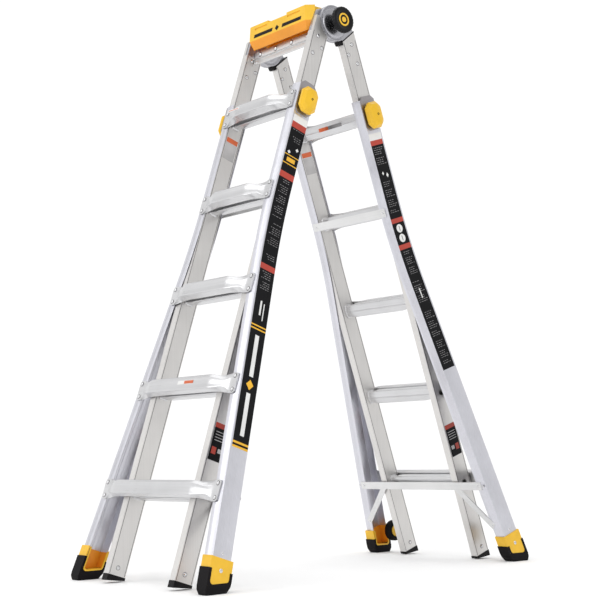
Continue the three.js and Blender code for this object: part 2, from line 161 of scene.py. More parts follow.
def flare(s):
    """How far the outer rails stand outside their straight line at s."""
    if s <= FLARE_START:
        return 0.0
    if s >= FLARE_START + FLARE_BEND:
        return FLARE_SLOPE * (s - FLARE_START - FLARE_BEND / 2)
    return FLARE_SLOPE * (s - FLARE_START) ** 2 / (2 * FLARE_BEND)


def world(section, x, n, s):
    """A point of one section in the ladder's own frame."""
    out = n * math.cos(LEAN) + s * math.sin(LEAN)
    up = n * math.sin(LEAN) - s * math.cos(LEAN)
    return Vector((x, HINGE.y + SECTIONS[section] * out, HINGE.z + up))


def section_box(section, node):
    """Lowest and highest (x, n, s) of a CAD node."""
    found = []
    for vertex in frame["nodes"][node].data.vertices:
        out = SECTIONS[section] * (vertex.co.y - HINGE.y)
        up = vertex.co.z - HINGE.z
        n = out * math.cos(LEAN) + up * math.sin(LEAN)
        s = out * math.sin(LEAN) - up * math.cos(LEAN)
        found.append((vertex.co.x, n, s))
    return tuple(map(min, zip(*found))), tuple(map(max, zip(*found)))


def middle_and_half(section, node):
    """The middle and the half size of a CAD node, each as (x, n, s)."""
    low, high = section_box(section, node)
    middle = [(a + b) / 2 for a, b in zip(low, high)]
    return middle, [(b - a) / 2 for a, b in zip(low, high)]


def level_s(height, n):
    """s of a level plane at a height above the floor, where it crosses n."""
    return (HINGE.z - height + n * math.sin(LEAN)) / math.cos(LEAN)


def smooth(t):
    t = max(0.0, min(1.0, t))
    return t * t * (3 - 2 * t)


def mix(a, b, t):
    return a + (b - a) * t


# ---- outlines


def rounded(corners, steps=4):
    """An outline of (a, b) points with each (a, b, radius) corner turned into an arc."""
    outline = []
    count = len(corners)
    for i, (a, b, radius) in enumerate(corners):
        here = Vector((a, b))
        if radius == 0:
            outline.append((a, b))
            continue
        to_last = (Vector(corners[i - 1][:2]) - here).normalized()
        to_next = (Vector(corners[(i + 1) % count][:2]) - here).normalized()
        half = to_last.angle(to_next) / 2
        reach = radius / math.tan(half)
        centre = here + (to_last + to_next).normalized() * (radius / math.sin(half))
        first = here + to_last * reach - centre
        last = here + to_next * reach - centre
        turn = first.angle_signed(last)
        for k in range(steps + 1):
            spoke = first.copy()
            spoke.rotate(Matrix.Rotation(-turn * k / steps, 2))
            outline.append(tuple(centre + spoke))
    return outline


def ring_of(radius, steps, centre=(0.0, 0.0)):
    """A circle of (n, s) points."""
    n, s = centre
    angles = [2 * math.pi * (i + 0.5) / steps for i in range(steps)]
    return [(n + radius * math.cos(a), s + radius * math.sin(a)) for a in angles]


def inset(outline, centre, scale_a, scale_b):
    """An outline scaled about a centre."""
    mid_a, mid_b = centre
    return [(mid_a + (a - mid_a) * scale_a, mid_b + (b - mid_b) * scale_b) for a, b in outline]


def mirrored(profile):
    """A profile of (x, radius) followed by its mirror image."""
    return profile + [(-x, radius) for x, radius in reversed(profile)]


def film(face, out, lift=0.0003, sink=0.0002):
    """x of the back and of the front of a thin layer on a face that looks along out."""
    return face - out * sink, face + out * lift


# ---- shapes


class Shape:
    """Vertices and faces of one piece. Points are (x, n, s), or (x, y, z) where no section is given."""

    def __init__(self):
        self.points = []
        self.faces = []
        self.finishes = []

    def add(self, points, faces, finish=0):
        first = len(self.points)
        self.points += [tuple(point) for point in points]
        self.faces += [tuple(first + i for i in face) for face in faces]
        self.finishes += [finish] * len(faces)

    def loft(self, rings, finish=0, capped=True):
        """A skin over rings that all have the same count."""
        count = len(rings[0])
        faces = []
        for ring in range(len(rings) - 1):
            for i in range(count):
                here = ring * count + i
                beside = ring * count + (i + 1) % count
                faces.append((here, beside, beside + count, here + count))
        if capped:
            last = (len(rings) - 1) * count
            faces.append(tuple(reversed(range(count))))
            faces.append(tuple(range(last, last + count)))
        self.add([point for ring in rings for point in ring], faces, finish)

    def across(self, outline, stations, finish=0, side=1, lean=lambda s: 0.0):
        """An outline of (n, s) points carried across x through the stations. Side -1 mirrors it."""
        self.loft([[(side * (x + lean(s)), n, s) for n, s in outline] for x in stations], finish)

    def lathe(self, profile, steps, centre=(0.0, 0.0), finish=0, side=1):
        """A body turned about the x axis through centre, from a profile of (x, radius)."""
        rings = [(side * x, ring_of(radius, steps, centre)) for x, radius in profile]
        self.loft([[(x, n, s) for n, s in ring] for x, ring in rings], finish)

    def block(self, x, n, s, finish=0, side=1):
        self.across([(n[0], s[0]), (n[1], s[0]), (n[1], s[1]), (n[0], s[1])], x, finish, side)

    def rivet(self, base, direction, radius=0.0045, height=0.0016, finish=0, steps=12):
        """A domed rivet head on a face; direction is the face's outward normal."""
        out = Vector(direction).normalized()
        side = out.orthogonal().normalized()
        up = out.cross(side)
        angles = [2 * math.pi * i / steps for i in range(steps)]
        spokes = [(side * math.cos(a) + up * math.sin(a)) * radius for a in angles]
        rings = []
        for share, rise in ((1.0, -0.1), (1.0, 0.25), (0.86, 0.62), (0.55, 0.9), (0.2, 1.0)):
            centre = Vector(base) + out * height * rise
            rings.append([tuple(centre + spoke * share) for spoke in spokes])
        self.loft(rings, finish)


def place(name, data):
    """A new object in the scene."""
    holder = bpy.data.objects.new(name, data)
    bpy.context.scene.collection.objects.link(holder)
    return holder


def build(shape, name, body, materials, section=None, replaces=(), bevel=0.0, sharp=35):
    """Makes a mesh piece from a shape and lets it ride on a CAD body."""
    mesh = bpy.data.meshes.new(name)
    points = [world(section, *p) if section else Vector(p) for p in shape.points]
    mesh.from_pydata(points, [], shape.faces)
    for entry in materials:
        mesh.materials.append(entry)
    mesh.polygons.foreach_set("material_index", shape.finishes)
    soft = bmesh.new()
    soft.from_mesh(mesh)
    bmesh.ops.remove_doubles(soft, verts=soft.verts, dist=1e-6)
    bmesh.ops.recalc_face_normals(soft, faces=soft.faces)
    soft.to_mesh(mesh)
    soft.free()
    mesh.shade_smooth()
    mesh.set_sharp_from_angle(angle=math.radians(sharp))
    piece = place(name, mesh)
    if bevel:
        soften(piece, bevel)
    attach(piece, body)
    if replaces:
        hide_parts(*replaces)
    return piece


def soften(piece, width, segments=2, angle=40):
    """Rounds the edges of a piece, or of a CAD node, with a bevel."""
    modifier = piece.modifiers.new("edges", "BEVEL")
    modifier.width = width
    modifier.segments = segments
    modifier.limit_method = "ANGLE"
    modifier.angle_limit = math.radians(angle)
    modifier.harden_normals = True
    modifier.miter_outer = "MITER_ARC"


def keep_node(node, material, bevel):
    """A CAD node that stays, with its own finish and rounded edges."""
    piece = frame["nodes"][node]
    piece.data.materials.clear()
    piece.data.materials.append(material)
    piece.data.shade_smooth()
    piece.data.set_sharp_from_angle(angle=math.radians(30))
    soften(piece, bevel)


# ---- materials

NOISE_RANGE = (0.3, 0.7)  # noise values hardly ever leave this range
BLOTCH_SCALE = 9.0
BLOTCH_SHARE = 0.45
MOTTLE_SCALE = 14.0

class Nodes:
    """A small helper that adds and links the shader nodes of a material or a world."""

    def __init__(self, owner, shader="Principled BSDF"):
        owner.use_nodes = True
        self.owner = owner
        self.tree = owner.node_tree
        self.shader = self.tree.nodes[shader]

    def add(self, kind, **values):
        node = self.tree.nodes.new(kind)
        for key, value in values.items():
            if key in node.inputs:
                node.inputs[key].default_value = value
            else:
                setattr(node, key, value)
        return node

    def link(self, source, target):
        self.tree.links.new(source, target)

    def coordinates(self, scale, turn=0.0):
        """Object coordinates turned about X and stretched."""
        place = self.add("ShaderNodeTexCoord")
        mapping = self.add("ShaderNodeMapping")
        mapping.inputs["Rotation"].default_value = (turn, 0.0, 0.0)
        mapping.inputs["Scale"].default_value = scale
        self.link(place.outputs["Object"], mapping.inputs["Vector"])
        return mapping.outputs["Vector"]

    def noise(self, vector, scale=1.0, detail=3.0):
        node = self.add("ShaderNodeTexNoise", Scale=scale, Detail=detail)
        self.link(vector, node.inputs["Vector"])
        return node.outputs["Fac"]

    def ramp(self, source, low, high, dark, light):
        node = self.add("ShaderNodeValToRGB")
        node.color_ramp.elements[0].position = low
        node.color_ramp.elements[0].color = dark
        node.color_ramp.elements[1].position = high
        node.color_ramp.elements[1].color = light
        self.link(source, node.inputs["Fac"])
        return node.outputs["Color"]

    def spread(self, source, low, high, span=NOISE_RANGE):
        """Maps a value from its span onto a range."""
        ends = {"From Min": span[0], "From Max": span[1], "To Min": low, "To Max": high}
        node = self.add("ShaderNodeMapRange", **ends)
        self.link(source, node.inputs["Value"])
        return node.outputs["Result"]

    def bump(self, height, strength, distance):
        node = self.add("ShaderNodeBump", Strength=strength, Distance=distance)
        self.link(height, node.inputs["Height"])
        self.link(node.outputs["Normal"], self.shader.inputs["Normal"])


def shade(colour, factor):
    return tuple(channel * factor for channel in colour[:3]) + (1.0,)


def metal(name, colour, roughness, grain, turn=0.0, bump=0.06):
    """Metal with drawn lines along the long direction of its grain scale and faint blotches."""
    nodes = Nodes(bpy.data.materials.new(name))
    nodes.shader.inputs["Metallic"].default_value = 1.0
    lines = nodes.noise(nodes.coordinates(grain, turn), detail=4.0)
    blotches = nodes.noise(nodes.coordinates((BLOTCH_SCALE,) * 3), detail=2.0)
    blend = nodes.add("ShaderNodeMix", data_type="FLOAT")
    factor, first, second = blend.inputs[0], blend.inputs[2], blend.inputs[3]
    factor.default_value = BLOTCH_SHARE
    nodes.link(lines, first)
    nodes.link(blotches, second)
    mixed = blend.outputs[0]
    tint = nodes.ramp(mixed, *NOISE_RANGE, shade(colour, 0.88), shade(colour, 1.06))
    nodes.link(tint, nodes.shader.inputs["Base Color"])
    nodes.link(nodes.spread(mixed, roughness * 0.8, roughness * 1.25), nodes.shader.inputs["Roughness"])
    nodes.bump(lines, bump, 0.0004)
    return nodes.owner


def plastic(name, colour, roughness, grain=900.0, bump=0.12, variation=0.07, specular=0.5):
    """Moulded plastic or rubber with a fine texture and slight colour variation."""
    nodes = Nodes(bpy.data.materials.new(name))
    nodes.shader.inputs["Specular IOR Level"].default_value = specular
    fine = nodes.noise(nodes.coordinates((grain,) * 3), detail=2.0)
    broad = nodes.noise(nodes.coordinates((MOTTLE_SCALE,) * 3), detail=3.0)
    colours = (shade(colour, 1 - variation), shade(colour, 1 + variation))
    nodes.link(nodes.ramp(broad, 0.35, 0.65, *colours), nodes.shader.inputs["Base Color"])
    nodes.link(nodes.spread(fine, roughness * 0.85, roughness * 1.2), nodes.shader.inputs["Roughness"])
    nodes.bump(fine, bump, 0.0003)
    return nodes.owner


def rail_metal(ladder, colour, roughness):
    """A rail metal for each section, whose drawn lines follow the leaning rails."""
    return {
        section: metal(f"{ladder}_rail_{section}", colour, roughness, RAIL_GRAIN, turn=-sign * LEAN)
        for section, sign in SECTIONS.items()
    }


RAIL_GRAIN = (500.0, 500.0, 2.5)
RUNG_GRAIN = (2.5, 500.0, 500.0)
SOOT = (0.006, 0.005, 0.006)
VINYL = {"roughness": 0.4, "bump": 0.02}

inner_metal = rail_metal("inner", (0.72, 0.705, 0.69), 0.4)
outer_metal = rail_metal("outer", (0.70, 0.70, 0.75), 0.36)
rung_metal = metal("rung", (0.66, 0.66, 0.67), 0.32, RUNG_GRAIN, bump=0.08)
brace_metal = metal("brace", (0.74, 0.74, 0.74), 0.36, RUNG_GRAIN)
casting_metal = metal("hinge_casting", (0.47, 0.47, 0.50), 0.27, (12.0, 12.0, 12.0), bump=0.0)
rivet_metal = metal("rivet", (0.70, 0.70, 0.71), 0.25, (120.0, 120.0, 120.0))
plate_metal = metal("lock_plate", (0.40, 0.38, 0.39), 0.42, (220.0, 220.0, 220.0))
# Dark metal that paints shade: the shadow lines along the inner rails' faces and the rings of shade under
# rivet heads.
painted_shade_metal = metal("dark_metal_painted_shade", (0.13, 0.125, 0.13), 0.5, RAIL_GRAIN)
yellow = plastic("yellow_plastic", (0.80, 0.47, 0.022), 0.4)
knob_yellow = plastic("knob_yellow", (0.78, 0.46, 0.012), 0.34)
# A darker orange copy of the yellow, painted as shade on the cap's underside and inside the boots.
shaded_yellow = plastic("yellow_plastic_painted_shade", (0.80, 0.30, 0.015), 0.4)
rubber = plastic("foot_rubber", SOOT, 0.6, grain=600.0, bump=0.3, variation=0.25, specular=0.12)
black = plastic("black_plastic", (0.007, 0.006, 0.007), 0.4, variation=0.2, specular=0.15)
knob_black = plastic("knob_plastic", (0.005, 0.005, 0.006), 0.3, variation=0.2, specular=0.2)
tyre_rubber = plastic("wheel_rubber", SOOT, 0.6, grain=500.0, bump=0.25, variation=0.2, specular=0.12)
label_black = plastic("label_black", (0.005, 0.005, 0.006), variation=0.2, specular=0.12, **VINYL)
label_red = plastic("label_red", (0.42, 0.04, 0.022), **VINYL)
label_orange = plastic("label_orange", (0.62, 0.12, 0.035), **VINYL)
label_white = plastic("label_white", (0.74, 0.74, 0.73), variation=0.03, **VINYL)
label_grey = plastic("label_grey", (0.24, 0.235, 0.24), 0.45, bump=0.02, variation=0.2)
label_pale = plastic("label_pale", (0.46, 0.45, 0.45), 0.45, bump=0.02, variation=0.12)
label_yellow = plastic("label_yellow", (0.78, 0.42, 0.02), **VINYL)

# ---- rails


def channel_outline():
    """The outer rail's section as (x, n): a web ridged inside, and flanges whose outer halves fall away."""
    x0, x1 = OUTER_X
    inside = x1 - OUTER_WALL
    crease = (x0 + x1) / 2
    middle = sum(OUTER_N) / 2
    edge = (OUTER_N[1] - OUTER_N[0]) / 2
    half = [
        (x1, edge - FLANGE_DROP, 0.0012), (crease, edge, 0.0), (crease - 0.0006, edge + FLANGE_STEP, 0.0),
        (x0, edge + FLANGE_STEP, 0.0008), (x0, edge - OUTER_WALL, 0.0006),
        (inside, edge - OUTER_WALL - FLANGE_DROP * 0.3, 0.0012),
        (inside, RIDGE_HALF + 0.0015, 0.0), (inside - WEB_RIDGE, RIDGE_HALF, 0.0),
    ]
    corners = [(x, middle + n, radius) for x, n, radius in half]
    corners += [(x, middle - n, radius) for x, n, radius in reversed(half)]
    return rounded(corners, steps=3)


def outer_rail(section, hand):
    side = SIDES[hand]
    outline = channel_outline()
    top, bottom = OUTER_S
    bend_steps = 14
    stations = [top, top + 0.0015]
    stations += [FLARE_START + FLARE_BEND * i / bend_steps for i in range(bend_steps + 1)]
    stations += [STRAIGHT_S, bottom]
    shape = Shape()
    shape.loft([[(side * (x + flare(s)), n, s) for x, n in outline] for s in stations])
    node = f"{section}_outer_rail_{hand}"
    build(shape, f"{node}_profile", f"{section}_outer", [outer_metal[section]], section, [node])


def inner_rails(section):
    for hand in SIDES:
        keep_node(f"{section}_inner_rail_{hand}", inner_metal[section], 0.0012)
        keep_node(f"{section}_inner_end_cap_{hand}", black, 0.0015)
    low, high = section_box(section, f"{section}_inner_rail_right")
    length = (low[2] + 0.002, high[2] - 0.002)
    # Thin dark strips along both edges of each wide face are painted shadow lines.
    shadow_lines = Shape()
    for side in SIDES.values():
        for face, out in INNER_FACES:
            for n in (INNER_N[0] + SHADOW_LINE_INSET, INNER_N[1] - SHADOW_LINE_INSET - SHADOW_LINE_WIDTH):
                shadow_lines.block(film(face, out, 0.0002, 0.0003), (n, n + SHADOW_LINE_WIDTH), length, side=side)
    build(shadow_lines, f"{section}_rail_shadow_lines", f"{section}_inner", [painted_shade_metal], section)


# ---- treads and rungs


def ribs(a0, a1, b, out, count):
    """Small ribs along the line b, standing out by out, from a0 to a1."""
    pitch = (a1 - a0) / count
    points = []
    for i in range(count):
        for share, rise in ((0.15, 0.0), (0.3, out), (0.7, out), (0.85, 0.0)):
            points.append((a0 + pitch * i + pitch * share, b + rise, 0.0))
    return points


def tread_outline(depth):
    """A tread's section as (a, b): a stands off the rail and b runs down."""
    half = TREAD_HEIGHT / 2
    step = 0.0011
    corners = [(0.0, -half, 0.002)]
    corners += ribs(0.004, depth - 0.009, -half, -TREAD_RIB, 4)
    corners += [
        (depth - 0.006, -half, 0.003), (depth, -half + 0.009, 0.001),
        (depth - step, -half + 0.011, 0.0), (depth - step, half - 0.007, 0.0),
        (depth, half - 0.005, 0.0), (depth, half, 0.0015),
    ]
    corners += ribs(depth - 0.003, 0.004, half, TREAD_RIB, 5)
    corners += [(0.0, half, 0.002)]
    return rounded(corners, steps=3)


def outer_tread(section, number):
    """A ribbed tube whose ends are crushed flat onto the outer rails' flanges."""
    node = f"{section}_outer_tread_{number}"
    low, high = section_box(section, node)
    end, back, front = high[0], low[1], high[1]
    middle = (low[2] + high[2]) / 2
    depth = front - back
    fan = (high[2] - low[2]) / TREAD_HEIGHT
    outline = tread_outline(depth)

    def ring(x, crush, corner=1.0):
        eased = mix(crush, smooth(crush), 0.5)
        flatten = mix(1.0, TREAD_FLAT / depth, eased)
        pinch = TREAD_PINCH * math.sin(math.pi * crush ** 1.7)
        points = []
        for a, b in outline:
            tall = mix(1.0, fan, eased) * (1 - pinch * a / depth) * corner
            points.append((x, back + a * flatten, middle + b * tall))
        return points

    tube_end = end - TREAD_END - TREAD_TAPER
    steps = 12
    half = [(tube_end + TREAD_TAPER * i / steps, i / steps, 1.0) for i in range(steps + 1)]
    half += [(end - 0.007, 1.0, 1.0), (end - 0.0025, 1.0, 0.955), (end, 1.0, 0.86)]
    shape = Shape()
    shape.loft([ring(-x, *rest) for x, *rest in reversed(half)] + [ring(x, *rest) for x, *rest in half])
    rivet_x = end - TREAD_END / 2
    for side in SIDES.values():
        for share in (-0.34, 0.34):
            base = (side * rivet_x, back + TREAD_FLAT, middle + share * fan * TREAD_HEIGHT)
            # Under each rivet head, a wider and lower dark ring is painted shade round its edge.
            shape.rivet(base, (0, 1, 0), radius=0.0068, height=0.0008, finish=2)
            shape.rivet(base, (0, 1, 0), radius=0.0054, height=0.0032, finish=1)
    materials = [rung_metal, rivet_metal, painted_shade_metal]
    build(shape, f"{node}_ribbed", f"{section}_outer", materials, section, [node])


def inner_rung(section, number):
    """A tube with a ridge along its inner face, pinched and swaged against the inner rails."""
    node = f"{section}_inner_rung_{number}"
    (_, middle_n, middle_s), (end, half_d, half_h) = middle_and_half(section, node)
    corners = [(-half_d + 0.004, -half_h, 0.003)]
    corners += ribs(-half_d + 0.008, half_d - 0.006, -half_h, -RUNG_RIB, 4)
    corners += [
        (half_d, -half_h, 0.004), (half_d, half_h, 0.004), (-half_d + 0.006, half_h, 0.003),
        (-half_d + 0.0015, half_h * 0.1, 0.0), (-half_d, half_h * 0.04, 0.0),
        (-half_d, -half_h * 0.02, 0.0), (-half_d + 0.0015, -half_h * 0.06, 0.0),
    ]
    outline = rounded(corners, steps=3)
    half = [(end - reach, a, b) for reach, a, b in SWAGE]
    both = [(-x, a, b) for x, a, b in half] + half[::-1]
    shape = Shape()
    shape.loft([[(x, middle_n + n * a, middle_s + s * b) for n, s in outline] for x, a, b in both])
    build(shape, f"{node}_ridged", f"{section}_inner", [rung_metal], section, [node])


def crossbar(section):
    """A flat bar across the inner side of the outer rails, level with the fourth rung."""
    s0, s1 = CROSSBAR_S
    half = CROSSBAR_HALF
    outline = rounded([(x, s, 0.003) for x, s in ((-half, s0), (half, s0), (half, s1), (-half, s1))])
    shape = Shape()
    shape.loft([[(x, n, s) for x, s in outline] for n in CROSSBAR_N])
    for side in SIDES.values():
        shape.rivet((side * (half - 0.012), CROSSBAR_N[0], (s0 + s1) / 2), (0, -1, 0), finish=1)
    materials = [brace_metal, rivet_metal]
    build(shape, f"{section}_upper_crossbar", f"{section}_outer", materials, section, bevel=0.0006)


def brace(section):
    node = f"{section}_brace_frame"
    keep_node(node, brace_metal, 0.0007)
    low, high = section_box(section, node)
    rivets = Shape()
    for side in SIDES.values():
        for inward in BRACE_RIVETS:
            rivets.rivet((side * (high[0] - inward), low[1], low[2] + 0.013), (0, -1, 0))
        strap_x, strap_s = STRAP_RIVET
        rivets.rivet((side * strap_x, low[1], strap_s), (0, -1, 0), radius=0.004)
    build(rivets, f"{section}_brace_rivets", f"{section}_outer", [rivet_metal], section)


# ---- hinges


def casting_profile(other, face, out, dome):
    """A disc from its hidden side to its dished face, with grooves in the rim and in the face."""
    hidden = [(0.0, 0.0015), (0.0015, 0.0)]
    groove = [(-0.0012, 0.0), (-0.0006, 0.0012), (0.0006, 0.0012), (0.0012, 0.0)]
    dish = [
        (-0.002, 0.0), (-0.0006, 0.0008), (0.0, 0.0025), (0.0, 0.004), (-0.0012, 0.0048), (-0.0012, 0.0056),
        (0.0, 0.0064), (0.0004, 0.0090), (-0.0008, 0.0098), (0.0, 0.0108), (dome * 0.45, 0.018),
    ]
    runs = ((other, hidden), ((other + face) / 2, groove), (face, dish))
    profile = [(start + out * x, HINGE_RADIUS - drop) for start, steps in runs for x, drop in steps]
    crown = ((0.9, 0.030), (1.0, 0.026), (1.0, 0.0195))
    return profile + [(face + out * dome * share, radius) for share, radius in crown]


def casting_neck(is_back):
    """The outline of the neck from the disc down to the top of the inner rail."""
    n0 = INNER_N[0] + NECK_GAP
    n1 = INNER_N[1] - NECK_GAP
    if is_back:
        shoulder = [(0.050, -0.027, 0.004), (n1 - 0.0052, 0.016, 0.02), (n1, 0.050, 0.01)]
    else:
        shoulder = [(0.052, -0.028, 0.004), (n1, -0.012, 0.012)]
    corners = [(n0, 0.020, 0.0), (0.030, -0.030, 0.0)] + shoulder
    return rounded(corners + [(n1, NECK_FOOT, 0.0), (n0, NECK_FOOT, 0.0)])


def back_rail_top(shape, side):
    """The slanted top of a back rail, the black gasket on it, and the bumper between the sections."""
    n0, n1 = INNER_N
    x0, x1 = INNER_X
    rise = NECK_FOOT - BACK_RAIL_RISE
    lip = 0.0004
    shape.across([(n0, NECK_FOOT), (n1, rise), (n1, NECK_FOOT)], INNER_X, finish=2, side=side)
    tilted = ((n0 - lip, NECK_FOOT), (n1 + lip, rise))
    gasket = [tilted[0]] + [(n, s - GASKET) for n, s in tilted] + [tilted[1]]
    shape.across(gasket, (x0 - 2 * lip, x1 + 2 * lip), finish=1, side=side)
    bumper = rounded([
        (-0.004, 0.058, 0.002), (0.0135, 0.058, 0.002), (0.0135, 0.072, 0.003), (-0.001, 0.070, 0.003),
    ])
    shape.across(bumper, (x0 + 0.004, x1 - 0.002), finish=1, side=side)


def front_rail_top(shape, side):
    """The horn of a front rail that runs up beside the back casting's disc."""
    n0, n1 = INNER_N
    clear = HINGE_RADIUS + 0.0012
    first = math.asin(FRONT_HORN_TOP / clear)
    last = math.acos(n0 / clear)
    angles = [mix(first, last, i / 16) for i in range(17)]
    arc = [(clear * math.cos(a), clear * math.sin(a)) for a in angles]
    horn = [(n1, NECK_FOOT), (n1, FRONT_HORN_TOP)] + arc + [(n0, NECK_FOOT)]
    shape.across(horn, (HINGE_SPLIT + DISC_GAP, INNER_X[1]), finish=2, side=side)


def hinge_casting(section, hand):
    """A dished disc, the neck that runs into the inner rail, and the shaped top of that rail."""
    side = SIDES[hand]
    is_back = section == "back"
    node = f"{section}_hinge_casting_{hand}"
    if is_back:
        other, face, out, dome = HINGE_SPLIT + DISC_GAP, INNER_X[1], 1, BACK_DOME
    else:
        other, face, out, dome = HINGE_SPLIT - DISC_GAP, INNER_X[0], -1, FRONT_DOME
    shape = Shape()
    shape.lathe(casting_profile(other, face, out, dome), 72, side=side)
    neck = casting_neck(is_back)
    slim = inset(neck, (sum(INNER_N) / 2, 0.02), 0.98, 0.98)
    x0, x1 = sorted((other, face))
    rings = ((x0 + 0.0004, slim), (x0 + 0.0012, neck), (x1 - 0.0012, neck), (x1 - 0.0004, slim))
    shape.loft([[(side * x, n, s) for n, s in ring] for x, ring in rings])
    rail_top = back_rail_top if is_back else front_rail_top
    rail_top(shape, side)
    materials = [casting_metal, black, inner_metal[section]]
    build(shape, f"{node}_turned", f"{section}_inner", materials, section, [node])


def rail_rivets(section):
    """Rivets that hold the hinge tongues in the inner rails, and one near each end cap."""
    shape = Shape()
    for side in SIDES.values():
        for n, s in RAIL_RIVETS:
            for face, out in INNER_FACES:
                # A flat dark ring under each rivet head is painted shade round its edge.
                shade_ring = film(face, out, lift=0.0004, sink=0.0)
                shape.across(ring_of(0.0068, 24, (n, s)), shade_ring, finish=1, side=side)
                shape.rivet((side * face, n, s), (side * out, 0, 0), radius=0.0058, height=0.0019)
    materials = [rivet_metal, painted_shade_metal]
    build(shape, f"{section}_rail_rivets", f"{section}_inner", materials, section)


def hinge_knob(hand):
    """A black push knob with a fluted rim, and a plain yellow ring and dot on its face."""
    side = SIDES[hand]
    node = f"hinge_knob_{hand}"
    low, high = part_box(node)
    start, face = sorted((abs(low.x), abs(high.x)))
    radius = (high.z - low.z) / 2
    back = face - 0.016
    grip = (  # (x, margin, depth of the flutes)
        (back, 0.006, 0.0), (back + 0.002, 0.0015, 0.0008), (back + 0.004, 0.0, 0.0012),
        (face - 0.004, 0.0, 0.0012), (face - 0.0015, 0.0012, 0.0006), (face - 0.0004, 0.0035, 0.0),
        (face, 0.006, 0.0), (face - 0.0004, 0.013, 0.0), (face - 0.0016, 0.015, 0.0),
        (face - 0.0020, 0.017, 0.0),
    )
    rings = []
    for x, margin, depth in grip:
        ring = []
        for i, (n, s) in enumerate(ring_of(1.0, 96)):
            reach = radius - margin - depth * (i % 4 < 2)
            ring.append((side * x, n * reach, s * reach))
        rings.append(ring)
    shape = Shape()
    shape.loft(rings)
    collar = 0.188
    shape.lathe([
        (start, 0.0076), (collar, 0.0076), (collar, 0.016), (collar + 0.002, 0.017), (back - 0.003, 0.017),
        (back, 0.021), (back + 0.001, 0.021),
    ], 48, side=side)
    for outer, inner in BADGES:
        badge = (
            (0.0028, outer), (0.0008, outer), (0.0004, outer - 0.0008),
            (0.0004, inner + 0.0008), (0.0008, inner + 0.0002), (0.0028, inner + 0.0002),
        )
        shape.lathe([(face - depth, r) for depth, r in badge], 48, finish=1, side=side)
    shape.points = [(x, HINGE.y + n, HINGE.z + s) for x, n, s in shape.points]
    build(shape, f"{node}_fluted", f"hinge_lock_{hand}", [knob_black, yellow], None, [node])


# ---- locks


def lock_knob(section, hand):
    """A pull knob: a long octagon with stepped edges, a raised face, a pin and a centre screw."""
    side = SIDES[hand]
    node = f"{section}_lock_knob_{hand}"
    low, high = section_box(section, node)
    (_, *centre), (_, half_n, half_s) = middle_and_half(section, node)
    tip, outer = sorted((abs(low[0]), abs(high[0])))
    back = outer - KNOB_DEPTH
    n0, n1, s0, s1, cut = low[1], high[1], low[2], high[2], KNOB_CORNER
    corners = [
        (n0 + cut, s0), (n1 - cut, s0), (n1, s0 + cut), (n1, s1 - cut),
        (n1 - cut, s1), (n0 + cut, s1), (n0, s1 - cut), (n0, s0 + cut),
    ]
    outline = rounded([(n, s, 0.005) for n, s in corners])
    rings = []
    for depth, margin, fall in KNOB_STEPS:
        points = inset(outline, centre, 1 - margin / half_n, 1 - margin / half_s)
        rings.append([(side * (back + depth - fall * abs(n - centre[0]) / half_n), n, s) for n, s in points])
    shape = Shape()
    shape.loft(rings)
    pin = [(tip, 0.008), (tip + 0.001, 0.009), (back + 0.002, 0.009)]
    shape.lathe(pin, 32, centre, finish=1, side=side)
    screw = [(outer - 0.002, 0.0035), (outer, 0.0035), (outer, 0.0022), (outer - 0.0012, 0.0018)]
    shape.lathe(screw, 20, centre, finish=2, side=side)
    materials = [knob_yellow, rivet_metal, black]
    body = f"{section}_lock_{hand}"
    build(shape, f"{node}_moulded", body, materials, section, [node], sharp=20)


# ---- feet and wheels


def tongue_outline(margin, drop):
    """The boot's tongue as (n, s) points from one top corner round to the other, widened by margin."""
    n0 = OUTER_N[0] - BOOT_WALL + RUBBER_MARGIN - margin
    n1 = OUTER_N[1] + BOOT_WALL - RUBBER_MARGIN + margin
    height = TONGUE_HEIGHT - drop
    return rounded([
        (n1, RUBBER_FLAP_TOP, 0.0), (n1, level_s(height, n1), TONGUE_CORNER),
        (n0, level_s(height, n0), TONGUE_CORNER), (n0, RUBBER_FLAP_TOP, 0.0),
    ])


def shoe(section, hand):
    """The rubber shoe: rounded towards the floor, with a notch for the boot's tongue."""
    side = SIDES[hand]
    node = f"{section}_foot_pad_{hand}"
    n0 = OUTER_N[0] - BOOT_WALL - RUBBER_FLAP
    n1 = OUTER_N[1] + BOOT_WALL + RUBBER_FLAP

    def edge(n, inward):
        floor = n + inward * SOLE_INSET
        return [
            (n, RUBBER_FLAP_TOP, 0.0), (n, level_s(TAPER_TOP, n), 0.0),
            (n, level_s(SOLE_KNEE, n), 0.006), (floor, level_s(0.0, floor), 0.004),
        ]

    outline = rounded(edge(n0, 1) + edge(n1, -1)[::-1]) + tongue_outline(0.0, 0.0)
    x0 = OUTER_X[0] - 0.0032
    x1 = OUTER_X[1] + BOOT_WALL + 0.0012
    rings = []
    for x, taper in ((x0, 1.0), (x0 + 0.003, 0.25), (x1 - 0.003, -0.25), (x1, -1.0)):
        ring = []
        for n, s in outline:
            height = HINGE.z + n * math.sin(LEAN) - s * math.cos(LEAN)
            near_floor = max(0.0, 1 - height / TAPER_TOP)
            ring.append((side * (x + flare(s) + taper * RUBBER_TAPER * near_floor), n, s))
        rings.append(ring)
    shape = Shape()
    shape.loft(rings)
    build(shape, f"{node}_shoe", f"{section}_outer", [rubber], section, [node], bevel=0.0012)


